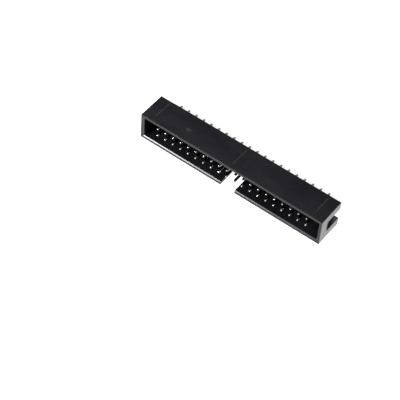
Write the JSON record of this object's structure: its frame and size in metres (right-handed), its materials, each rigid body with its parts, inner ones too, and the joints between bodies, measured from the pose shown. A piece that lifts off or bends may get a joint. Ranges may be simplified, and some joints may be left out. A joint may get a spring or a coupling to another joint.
{
  "type": "idc box header",
  "caption": "Upright two-row pin header in a moulded shroud with a key slot, soldered to a board to take the socket of a flat cable.",
  "frame": {"origin": "on the board's surface, at the centre of the pin field, which is the middle of the centre foot's underside", "axes": "+X along the pin rows, away from the first pin; +Z away from the board, the way the cable socket leaves; the wall with the key slot faces -Y"},
  "size_m": [0.0584, 0.0088, 0.0118],
  "materials": {
    "housing_plastic": "black glass-filled polyester, moulded, fine satin skin",
    "contact_metal": "drawn brass wire with a thin pale gold and tin plating"
  },
  "bodies": {
    "root": {"housing": "housing_plastic", "pin_01": "contact_metal", "pin_02": "contact_metal", "pin_03": "contact_metal", "pin_04": "contact_metal", "pin_05": "contact_metal", "pin_06": "contact_metal", "pin_07": "contact_metal", "pin_08": "contact_metal", "pin_09": "contact_metal", "pin_10": "contact_metal", "pin_11": "contact_metal", "pin_12": "contact_metal", "pin_13": "contact_metal", "pin_14": "contact_metal", "pin_15": "contact_metal", "pin_16": "contact_metal", "pin_17": "contact_metal", "pin_18": "contact_metal", "pin_19": "contact_metal", "pin_20": "contact_metal", "pin_21": "contact_metal", "pin_22": "contact_metal", "pin_23": "contact_metal", "pin_24": "contact_metal", "pin_25": "contact_metal", "pin_26": "contact_metal", "pin_27": "contact_metal", "pin_28": "contact_metal", "pin_29": "contact_metal", "pin_30": "contact_metal", "pin_31": "contact_metal", "pin_32": "contact_metal", "pin_33": "contact_metal", "pin_34": "contact_metal", "pin_35": "contact_metal", "pin_36": "contact_metal", "pin_37": "contact_metal", "pin_38": "contact_metal", "pin_39": "contact_metal", "pin_40": "contact_metal"}
  },
  "joints": []
}
